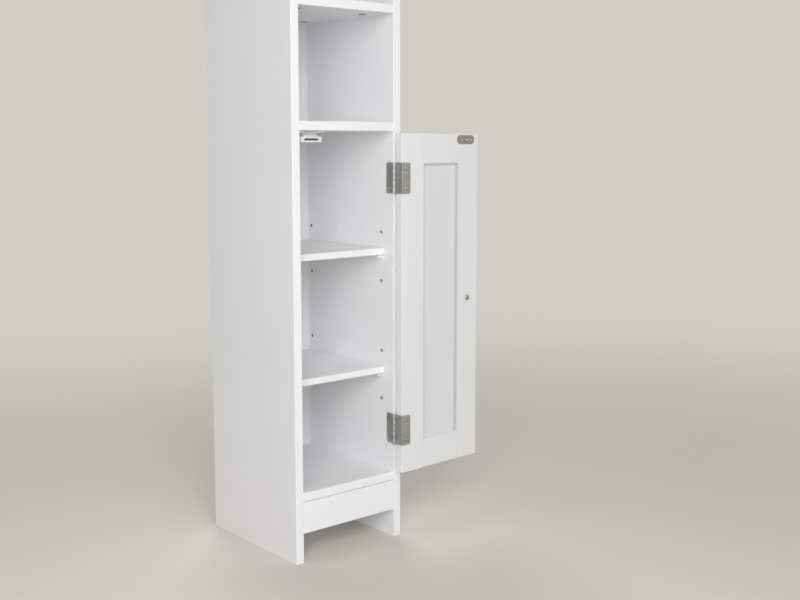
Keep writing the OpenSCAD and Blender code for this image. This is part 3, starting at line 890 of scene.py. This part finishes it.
def screw_holes(node, along, across):
    """A round hole (x, y, radius) for each screw of a node, in a sheet whose own X and Y run
    along two axes, and the diameter of the screws' heads."""
    radius = bpy.context.scene.shelf_unit_hardware.screw / 2 + HOLE_CLEARANCE
    boxes = solids(node)
    middles = [(low + high) / 2 for low, high in boxes]
    holes = [(middle[along], middle[across], radius) for middle in middles]
    return holes, boxes[-1][1].z - boxes[-1][0].z


def curl(centre, radius, wall, start, end, steps=28):
    """Outline of a strip that is rolled round a centre, from one angle to another."""
    outer = arc(centre, radius, start, end, steps)
    inner = arc(centre, radius - wall, end, start, steps)
    return outer + inner


def knuckle_spans(low, high, first):
    """Heights of every second knuckle between low and high."""
    hardware = bpy.context.scene.shelf_unit_hardware
    count, gap = hardware.knuckles, hardware.knuckle_gap
    length = (high - low - (count - 1) * gap) / count
    for index in range(first, count, 2):
        start = low + index * (length + gap)
        yield start, start + length


def rolled_knuckles(leaf, centre, radius, sweep, root, spans):
    """Joins a leaf to its rolled knuckles. sweep is the roll's two angles, and root the strip
    that leads from the leaf to the roll, as two corners in X and Y."""
    (x0, y0), (x1, y1) = root
    strip = [(x0, y0), (x1, y0), (x1, y1), (x0, y1)]
    for start, end in spans:
        roll = prism(curl(centre, radius, KNUCKLE_WALL, *sweep), start, end, bevel=0.12)
        leaf = combined(leaf, roll, "UNION")
        leaf = combined(leaf, prism(strip, start, end), "UNION")
    return leaf


def flat_leaf(outline, screws, stand):
    """Flat part of a hinge leaf, with its screw holes, stood against the wood by a matrix."""
    hardware = bpy.context.scene.shelf_unit_hardware
    holes, head_d = screws
    sheet = plate(outline, holes, hardware.leaf, hardware.edge)
    return moved(grooved(sheet, holes, head_d, hardware.leaf), stand)


def panel_leaf(level):
    """Hinge leaf on the side panel's inner face, with its knuckles rolled round the pin."""
    hardware = bpy.context.scene.shelf_unit_hardware
    node = f"hinge_{level}_panel_leaf"
    low, high = solid(node)
    wood = solid("right_side_panel")[0]
    centre = HINGE_POINT / MM
    front = wood.y + LEAF_FRONT
    outline = rounded(
        low.z, front, high.z, high.y,
        (BENT_CORNER, BENT_CORNER, hardware.leaf_corner, hardware.leaf_corner),
    )
    # Heights run along the sheet's own X, and its thickness runs from the wood towards -X
    stand = Matrix(((0, 0, -1, wood.x), (0, 1, 0, 0), (1, 0, 0, 0), (0, 0, 0, 1)))
    leaf = flat_leaf(outline, screw_holes(f"hinge_{level}_panel_screws", 2, 1), stand)
    root = ((wood.x - hardware.leaf, centre.y), (wood.x, front + hardware.edge + 0.3))
    spans = knuckle_spans(low.z, high.z, 0)
    return rolled_knuckles(leaf, centre, centre.y - low.y, (0, -300), root, spans), node


def door_leaf(level):
    """Hinge leaf that wraps the door's edge, with its knuckles rolled round the pin."""
    hardware = bpy.context.scene.shelf_unit_hardware
    node = f"hinge_{level}_door_leaf"
    low, high = solid(node)
    wood_low, wood_high = solid("door_hinge_stile")
    centre = HINGE_POINT / MM
    t = hardware.leaf
    front = wood_low.y + LEAF_FRONT
    outline = rounded(
        low.x, low.z, wood_high.x + t / 2, high.z,
        (hardware.leaf_corner, BENT_CORNER, BENT_CORNER, hardware.leaf_corner),
    )
    leaf = flat_leaf(
        outline, screw_holes(f"hinge_{level}_door_screws", 0, 2), standing(wood_high.y)
    )
    bend = 0.3
    wrap = (
        [(wood_high.x, front), (wood_high.x + t, front)]
        + arc((wood_high.x + t - bend, wood_high.y + t - bend), bend, 0, 90)
        + [(wood_high.x, wood_high.y + t)]
    )
    leaf = combined(leaf, prism(wrap, low.z, high.z, bevel=0.15), "UNION")
    root = ((wood_high.x, centre.y), (wood_high.x + t, front + 0.5))
    spans = knuckle_spans(low.z, high.z, 1)
    return rolled_knuckles(leaf, centre, centre.y - low.y, (180, 480), root, spans), node


def standing(face):
    """Matrix that stands a flat sheet up: its own Y runs up, and its thickness runs from a face
    towards +Y."""
    return Matrix(((1, 0, 0, 0), (0, 0, 1, face), (0, 1, 0, 0), (0, 0, 0, 1)))


def hinge_pin(level):
    """Hinge pin with domed ends."""
    node = f"hinge_{level}_pin"
    low, high = solid(node)
    radius = (high.x - low.x) / 2
    dome, crown, crown_h = 0.5, 0.55 * radius, 0.05
    middle = (low + high) / 2
    pin = lathe([
        (0, low.z), (crown, low.z + crown_h), (radius, low.z + dome), (radius, high.z - dome),
        (crown, high.z - crown_h), (0, high.z),
    ], 24)
    return moved(pin, Matrix.Translation((middle.x, middle.y, 0))), node


def turned_knob():
    """Round knob with a foot, a waisted neck and a crowned face, turned towards the front."""
    low, high = solid("door_knob")
    length = high.y - low.y
    radius = (high.x - low.x) / 2
    foot, neck, rim = 0.5 * radius, 0.36 * radius, 3.6
    shoulder, waist_low, waist_high, steps = foot - 1.4, 1.9, 0.52 * length, 8
    profile = [(0, 0), (foot - 0.3, 0), (foot, 0.3), (foot, 1.2), (foot - 0.4, 1.6)]
    profile += [
        (
            neck + (shoulder - neck) * (2 * step / steps - 1) ** 2,
            waist_low + (waist_high - waist_low) * step / steps,
        )
        for step in range(steps + 1)
    ]
    profile += arc((radius - rim, length - rim), rim, -78, 82, 12)
    profile += [(0.45 * radius, length - 0.12), (0.2 * radius, length - 0.02), (0, length)]
    middle = (low + high) / 2
    return moved(lathe(profile, 64), turned_to((0, -1, 0), (middle.x, high.y, middle.z)))


def cam_face():
    """Die-cast cam lock with a rim, a sunk face, a cross recess and a pointer, seen from +Z."""
    radius, height, corner, rim_corner, sunk = 6.0, 9.5, 0.4, 0.25, 0.3
    body = lathe([
        (0, -height), (radius - corner, -height), (radius, -height + corner),
        (radius, -rim_corner), (radius - rim_corner, 0), (radius - 0.85, 0),
        (radius - 1.05, -sunk), (0, -sunk),
    ], 48)
    pointer = prism([(4.05, -0.55), (4.85, 0), (4.05, 0.55)], -0.45, 0.5)
    for cutter in (cross_cutter(7.4, 1.7, 1.9), pointer):
        body = combined(body, cutter, "DIFFERENCE")
    return body


def cam_locks():
    """A cam lock for each solid of the node. It faces down, or back in the kick board."""
    model = cam_face()
    copies = []
    for low, high in solids("cam_locks"):
        size = high - low
        middle = (low + high) / 2
        if size.z < size.x:
            place = turned_to((0, 0, -1), (middle.x, middle.y, low.z))
        else:
            place = turned_to((0, 1, 0), (middle.x, high.y, middle.z))
        copies.append(copied(model, place))
    model.free()
    return joined(copies)


def shelf_pin(shank, peg, radius):
    """Plastic shelf pin: a ribbed shank below height 0, a collar, and a peg with a round end."""
    core, rib, tip = radius - 0.55, 0.12, 0.6
    neck = radius - 0.25
    profile = [(0, -shank), (core - tip, -shank), (core, -shank + tip)]
    for start in (1.2, 2.7, 4.2, 5.7):
        base = start - shank
        profile += [(core - rib, base), (core, base + 0.5), (core - rib, base + 1.0)]
    profile += [(core, -0.4), (core, 0), (radius, 0), (radius, 0.8), (neck, 1.0)]
    profile += [
        (neck, peg - 1.0), (radius - 0.4, peg - 0.45), (radius - 0.85, peg - 0.1),
        (radius - 1.4, peg), (0, peg),
    ]
    return lathe(profile, 28)


def shelf_pins(node):
    """A shelf pin for each solid of a node, with its collar on the face of its side panel."""
    left_face = solid("left_side_panel")[1].x
    right_face = solid("right_side_panel")[0].x
    pins = []
    for low, high in solids(node):
        middle = (low + high) / 2
        radius = (high.z - low.z) / 2
        if middle.x < (left_face + right_face) / 2:
            pin = shelf_pin(left_face - low.x, high.x - left_face, radius)
            place = turned_to((1, 0, 0), (left_face, middle.y, middle.z))
        else:
            pin = shelf_pin(high.x - right_face, right_face - low.x, radius)
            place = turned_to((-1, 0, 0), (right_face, middle.y, middle.z))
        pins.append(moved(pin, place))
    return joined(pins)


def catch_body():
    """Moulded catch: body with its magnet's slot, shoulder, neck, and eared plate that is
    recessed over the neck."""
    low, high = solid("catch_housing")
    magnet_low, magnet_high = solid("catch_magnet")
    edge = bpy.context.scene.shelf_unit_hardware.plastic_edge
    ear, body_h, neck_in, neck_back = 7.0, 7.5, 6.0, 5.0
    shoulder_h, shoulder_back = 2.0, 1.5
    plate_t, plate_back, plate_corner, recess_h = 3.0, 1.25, 3, 1.4
    slot_gap, slot_side, over = 0.9, 0.05, 1
    left, right = low.x + ear, high.x - ear
    neck_left, neck_right = left + neck_in, right - neck_in
    body_top = low.z + body_h
    whole = soft_box((left, low.y, low.z), (right, high.y, body_top), edge)
    shoulder = soft_box(
        (neck_left, low.y + shoulder_back, body_top - over),
        (neck_right, high.y, body_top + shoulder_h), 0.6 * edge,
    )
    neck = soft_box(
        (neck_left, low.y + neck_back, body_top), (neck_right, high.y, high.z - plate_t / 2)
    )
    ears = plate(
        rounded(low.x, low.y + plate_back, high.x, high.y, [plate_corner] * 4), [], plate_t, 0.35
    )
    moved(ears, Matrix.Translation((0, 0, high.z - plate_t)))
    for added in (shoulder, neck, ears):
        whole = combined(whole, added, "UNION")
    recess = soft_box(
        (neck_left, low.y - over, high.z - recess_h),
        (neck_right, low.y + neck_back - 0.2, high.z + over),
    )
    slot = soft_box(
        (magnet_low.x - slot_side, low.y - 2 * over, magnet_low.z - slot_gap),
        (magnet_high.x + slot_side, magnet_high.y + slot_side, magnet_high.z + slot_gap),
    )
    for cutter in (recess, slot):
        whole = combined(whole, cutter, "DIFFERENCE")
    return whole


def strike_sheet():
    """Stamped strike plate with round ends, a countersunk screw hole and two dimples."""
    low, high = solid("strike_plate")
    thickness = high.y - low.y
    half_h = (high.z - low.z) / 2
    outline = (
        arc((high.x - half_h, (low.z + high.z) / 2), half_h, -90, 90, 14)
        + arc((low.x + half_h, (low.z + high.z) / 2), half_h, 90, 270, 14)
    )
    holes, head_d = screw_holes("strike_plate_screw", 0, 2)
    x, y, hole = holes[0]
    flat = plate(outline, holes, thickness, 0.3)
    rim = head_d / 2 + 0.4
    sink = lathe([
        (0, thickness - rim + hole), (hole, thickness - rim + hole), (rim, thickness),
        (rim, thickness + 1), (0, thickness + 1),
    ])
    flat = combined(flat, moved(sink, Matrix.Translation((x, y, 0))), "DIFFERENCE")
    dimple_r, dimple_out, over = 1.9, 9.5, thickness + 0.3
    for side in (-dimple_out, dimple_out):
        dimple = lathe([
            (0, thickness - 0.6), (1.2, thickness - 0.55), (dimple_r, thickness),
            (dimple_r, over), (0, over),
        ], 32)
        flat = combined(flat, moved(dimple, Matrix.Translation((x + side, y, 0))), "DIFFERENCE")
    return moved(flat, standing(low.y))


def drilled(sheet, radius, direction, place, sides=24):
    """A sheet with a round hole through it at a place."""
    reach = 5
    drill = lathe([(0, -reach), (radius, -reach), (radius, reach), (0, reach)], sides)
    return combined(sheet, moved(drill, turned_to(direction, place)), "DIFFERENCE")


def bent_bracket():
    """Angle bracket bent from one strip, with its wall hole and two screw holes."""
    low, high = solid("wall_bracket")
    t, bend, corner, over, clear = 1.5, 2.2, 3.0, 0.02, 1
    profile = (
        [(low.y, low.z), (high.y - bend, low.z)]
        + arc((high.y - bend, low.z + bend), bend, -90, 0)
        + [(high.y, high.z), (high.y - t, high.z)]
        + arc((high.y - bend, low.z + bend), bend - t, 0, -90)
        + [(low.y, low.z + t)]
    )
    # The outline's X and Y become the bracket's Y and Z, and its height runs along X
    along_x = Matrix(((0, 0, 1, 0), (1, 0, 0, 0), (0, 1, 0, 0), (0, 0, 0, 1)))
    sheet = moved(prism(profile, low.x, high.x, bevel=0.15), along_x)
    upright = prism(
        rounded(low.x - over, low.z - clear, high.x + over, high.z + over, (0, 0, corner, corner)),
        low.y - clear, high.y + clear,
    )
    flat = prism(
        rounded(low.x - over, low.y - over, high.x + over, high.y + clear, (corner, corner, 0, 0)),
        low.z - clear, high.z + clear,
    )
    for keeper in (moved(upright, standing(0)), flat):
        sheet = combined(sheet, keeper, "INTERSECT")
    mounts = frame["record"]["mounts"]
    wall_hole = next(mount for mount in mounts if mount["name"] == "wall_screw_hole")
    place = Vector(wall_hole["pos_m"]) / MM
    sheet = drilled(sheet, wall_hole["dims"]["r_mm"], (0, 1, 0), place, 40)
    for x, y, radius in screw_holes("wall_bracket_screws", 0, 1)[0]:
        sheet = drilled(sheet, radius, (0, 0, 1), (x, y, low.z))
    return sheet


class SHELFUNIT_OT_boards(bpy.types.Operator):
    """Finish the boards, the back panel and what is hidden in them"""

    bl_idname = "shelf_unit.boards"
    bl_label = "Finish the Boards"

    def execute(self, context):
        settings = context.scene.shelf_unit_finish
        dress(BOARDS, board_foil(settings))
        dress(["back_panel"], hardboard_paint(settings))
        dress(["dowels"], beech_wood())
        plated = brushed_metal(
            "plated_nails", settings.steel_colour, settings.metal_roughness, (2500, 300, 2500)
        )
        dress(["back_panel_nails", "cam_bolts"], plated)
        return {"FINISHED"}


class SHELFUNIT_OT_door(bpy.types.Operator):
    """Finish the door's frame and centre panel"""

    bl_idname = "shelf_unit.door"
    bl_label = "Finish the Door"

    def execute(self, context):
        settings = context.scene.shelf_unit_finish
        across = OPENED.to_3x3() @ Vector((1, 0, 0))
        # Each stile's lacquer darkens its inner edge, the one facing across the door, with painted shade
        for stile, inner in (("door_free_stile", across), ("door_hinge_stile", -across)):
            paint = door_lacquer(f"{stile}_lacquer", settings.door_colour, settings, inner)
            dress([stile], paint)
        rail_paint = door_lacquer("door_rail_lacquer", settings.door_colour, settings)
        dress(["door_top_rail", "door_bottom_rail"], rail_paint)
        panel_paint = door_lacquer("door_panel_lacquer", settings.panel_colour, settings)
        dress(["door_centre_panel"], panel_paint)
        return {"FINISHED"}


class SHELFUNIT_OT_hinges(bpy.types.Operator):
    """Make the hinges' rolled leaves, pins and screws"""

    bl_idname = "shelf_unit.hinges"
    bl_label = "Make the Hinges"

    def execute(self, context):
        settings = context.scene.shelf_unit_finish
        head = context.scene.shelf_unit_hardware.screw_head
        metal = brushed_metal(
            "hinge_nickel", settings.hinge_colour, settings.hinge_roughness, (1500, 1500, 60)
        )
        plated = screw_plating(settings)
        for level in LEVELS:
            for make in (panel_leaf, door_leaf):
                shape, node = make(level)
                piece(f"{node}_rolled", shape, metal, "hinge_steel", node)
            shape, node = hinge_pin(level)
            piece(f"{node}_domed", shape, plated, "plated_steel", node)
            for side, direction in (("panel", (-1, 0, 0)), ("door", (0, 1, 0))):
                node = f"hinge_{level}_{side}_screws"
                shape = screws_at(node, direction, head)
                piece(f"{node}_threaded", shape, plated, "plated_steel", node)
        return {"FINISHED"}


class SHELFUNIT_OT_knob(bpy.types.Operator):
    """Make the door's knob and its screw"""

    bl_idname = "shelf_unit.knob"
    bl_label = "Make the Knob"

    def execute(self, context):
        settings = context.scene.shelf_unit_finish
        nickel = brushed_metal(
            "knob_nickel", settings.knob_colour, roughness=0.3, stretch=(2600, 2600, 2600),
            contrast=0.05, scratch_mm=0.0015,
        )
        piece("door_knob_turned", turned_knob(), nickel, "satin_nickel", "door_knob")
        shape = screws_at("knob_screw", (0, 1, 0), KNOB_SCREW_CROWN)
        piece(
            "knob_screw_threaded", shape, screw_plating(settings), "plated_steel", "knob_screw"
        )
        return {"FINISHED"}


class SHELFUNIT_OT_catch(bpy.types.Operator):
    """Make the magnetic catch and its strike plate"""

    bl_idname = "shelf_unit.catch"
    bl_label = "Make the Catch"

    def execute(self, context):
        settings = context.scene.shelf_unit_finish
        head = context.scene.shelf_unit_hardware.screw_head
        plastic, plated = moulded_plastic(settings), screw_plating(settings)
        strike = brushed_metal(
            "strike_steel", settings.steel_colour, settings.metal_roughness, (120, 1800, 1800)
        )
        piece("catch_housing_moulded", catch_body(), plastic, "catch_plastic", "catch_housing")
        piece("strike_plate_stamped", strike_sheet(), strike, "strike_steel", "strike_plate")
        dress(["catch_magnet"], sintered_magnet())
        dress(["catch_pole_plates"], strike)
        shape = screws_at("strike_plate_screw", (0, 1, 0), STRIKE_SCREW_CROWN, countersunk_screw)
        piece("strike_plate_screw_threaded", shape, plated, "plated_steel", "strike_plate_screw")
        shape = screws_at("catch_screws", (0, 0, -1), head)
        piece("catch_screws_threaded", shape, plated, "plated_steel", "catch_screws")
        return {"FINISHED"}


class SHELFUNIT_OT_fasteners(bpy.types.Operator):
    """Make the cam locks and the shelf pins"""

    bl_idname = "shelf_unit.fasteners"
    bl_label = "Make the Cam Locks and Shelf Pins"

    def execute(self, context):
        settings = context.scene.shelf_unit_finish
        piece("cam_locks_cast", cam_locks(), cast_zinc(settings), "zinc", "cam_locks")
        plastic = moulded_plastic(settings)
        for level in LEVELS:
            node = f"shelf_pins_{level}"
            piece(f"{node}_moulded", shelf_pins(node), plastic, "pin_plastic", node)
        return {"FINISHED"}


class SHELFUNIT_OT_bracket(bpy.types.Operator):
    """Make the wall bracket and its screws"""

    bl_idname = "shelf_unit.bracket"
    bl_label = "Make the Wall Bracket"

    def execute(self, context):
        settings = context.scene.shelf_unit_finish
        head = context.scene.shelf_unit_hardware.screw_head
        metal = brushed_metal(
            "bracket_steel", settings.steel_colour, settings.metal_roughness, (1500, 120, 120)
        )
        piece("wall_bracket_bent", bent_bracket(), metal, "plated_steel", "wall_bracket")
        plated = screw_plating(settings)
        shape = screws_at("wall_bracket_screws", (0, 0, 1), head)
        piece("wall_bracket_screws_threaded", shape, plated, "plated_steel", "wall_bracket_screws")
        return {"FINISHED"}


def add_camera(stage):
    """Camera at the photograph's viewing angle."""
    data = bpy.data.cameras.new("view")
    data.lens = stage.lens
    data.shift_y = stage.shift_up
    data.clip_start = 0.05
    data.clip_end = 50
    camera = bpy.data.objects.new("view", data)
    camera.location = stage.camera_place
    camera.rotation_euler = (math.pi / 2 - stage.camera_dip, 0, -stage.camera_turn)
    bpy.context.scene.collection.objects.link(camera)
    bpy.context.scene.camera = camera


def add_soft_light(name, place, width, power, target):
    """Large square light that looks at a target."""
    data = bpy.data.lights.new(name, "AREA")
    data.shape = "SQUARE"
    data.size = width
    data.energy = power
    light = bpy.data.objects.new(name, data)
    light.location = place
    light.rotation_euler = (Vector(place) - target).to_track_quat("Z", "Y").to_euler()
    bpy.context.scene.collection.objects.link(light)


def add_world(stage):
    """Even light from all sides, and a plain backdrop for the camera and for reflections."""
    world = bpy.data.worlds.new("studio")
    world.use_nodes = True
    nodes, links = world.node_tree.nodes, world.node_tree.links
    nodes.clear()
    mix = nodes.new("ShaderNodeMixShader")
    backgrounds = (((1, 1, 1), stage.ambient), (stage.backdrop, 1.0))
    for slot, (colour, strength) in enumerate(backgrounds, 1):
        light = nodes.new("ShaderNodeBackground")
        light.inputs["Color"].default_value = (*colour, 1)
        light.inputs["Strength"].default_value = strength
        links.new(light.outputs[0], mix.inputs[slot])
    path = nodes.new("ShaderNodeLightPath")
    seen = path.outputs["Is Camera Ray"]
    for ray in ("Is Glossy Ray", "Is Transmission Ray"):
        either = nodes.new("ShaderNodeMath")
        either.operation = "MAXIMUM"
        links.new(seen, either.inputs[0])
        links.new(path.outputs[ray], either.inputs[1])
        seen = either.outputs[0]
    links.new(seen, mix.inputs["Fac"])
    output = nodes.new("ShaderNodeOutputWorld")
    links.new(mix.outputs[0], output.inputs["Surface"])
    bpy.context.scene.world = world


def floor_finish(stage, inner=0.4, outer=2.4):
    """Pale matt floor that fades into the backdrop with its distance from the unit."""
    finish = Finish("floor_finish")
    finish.set(
        Base_Color=finish.mottled(stage.floor, 0.985, 1.015, per_metre=1.2, detail=3),
        Roughness=0.75,
        Specular_IOR_Level=0.2,
    )
    distance = finish.add("VectorMath", {0: finish.place()}, operation="LENGTH")
    fade = finish.add("MapRange", {
        "Value": distance.outputs["Value"], "From Min": inner, "From Max": outer,
    }, interpolation_type="SMOOTHSTEP")
    clear = finish.add("BsdfTransparent")
    mix = finish.add("MixShader", {
        "Fac": fade.outputs["Result"], 1: finish.shader.outputs["BSDF"], 2: clear.outputs["BSDF"],
    })
    finish.join(mix.outputs["Shader"], finish.tree.nodes["Material Output"].inputs["Surface"])
    return finish.material


def add_floor(stage):
    """Round floor that is part of the stage."""
    disc = bmesh.new()
    bmesh.ops.create_circle(disc, cap_ends=True, radius=FLOOR_RADIUS, segments=96)
    floor = placed_mesh("floor", disc)
    floor.data.materials.append(floor_finish(stage))
    floor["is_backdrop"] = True


class SHELFUNIT_OT_stage(bpy.types.Operator):
    """Set the floor, the lights, the backdrop and the camera"""

    bl_idname = "shelf_unit.stage"
    bl_label = "Set the Stage"

    def execute(self, context):
        stage = context.scene.shelf_unit_stage
        context.scene.view_settings.view_transform = "Standard"
        add_camera(stage)
        add_floor(stage)
        add_world(stage)
        low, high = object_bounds()
        for name, place, width in LIGHTS:
            power = getattr(stage, f"{name}_power")
            add_soft_light(name, place, width, power, (low + high) / 2)
        return {"FINISHED"}


OPERATORS = (
    SHELFUNIT_OT_stage, SHELFUNIT_OT_boards, SHELFUNIT_OT_door, SHELFUNIT_OT_hinges,
    SHELFUNIT_OT_knob, SHELFUNIT_OT_catch, SHELFUNIT_OT_fasteners, SHELFUNIT_OT_bracket,
)
GROUPS = (
    (ShelfUnitFinish, "shelf_unit_finish"), (ShelfUnitHardware, "shelf_unit_hardware"),
    (ShelfUnitStage, "shelf_unit_stage"),
)


class SHELFUNIT_PT_sidebar(bpy.types.Panel):
    """Lists the settings and the steps in the 3D view's sidebar."""

    bl_idname = "SHELFUNIT_PT_sidebar"
    bl_label = "Shelf Unit"
    bl_space_type = "VIEW_3D"
    bl_region_type = "UI"
    bl_category = "Shelf Unit"

    def draw(self, context):
        layout = self.layout
        for group, name in GROUPS:
            box = layout.box()
            for key in group.__annotations__:
                box.prop(getattr(context.scene, name), key)
        for operator in OPERATORS:
            layout.operator(operator.bl_idname)


def register():
    for group, name in GROUPS:
        bpy.utils.register_class(group)
        setattr(bpy.types.Scene, name, PointerProperty(type=group))
    for operator in OPERATORS:
        bpy.utils.register_class(operator)
    bpy.utils.register_class(SHELFUNIT_PT_sidebar)


def unregister():
    bpy.utils.unregister_class(SHELFUNIT_PT_sidebar)
    for operator in reversed(OPERATORS):
        bpy.utils.unregister_class(operator)
    for group, name in reversed(GROUPS):
        delattr(bpy.types.Scene, name)
        bpy.utils.unregister_class(group)


def main():
    register()
    for operator in OPERATORS:
        getattr(bpy.ops.shelf_unit, operator.bl_idname.split(".")[1])()


if __name__ == "__main__":
    main()
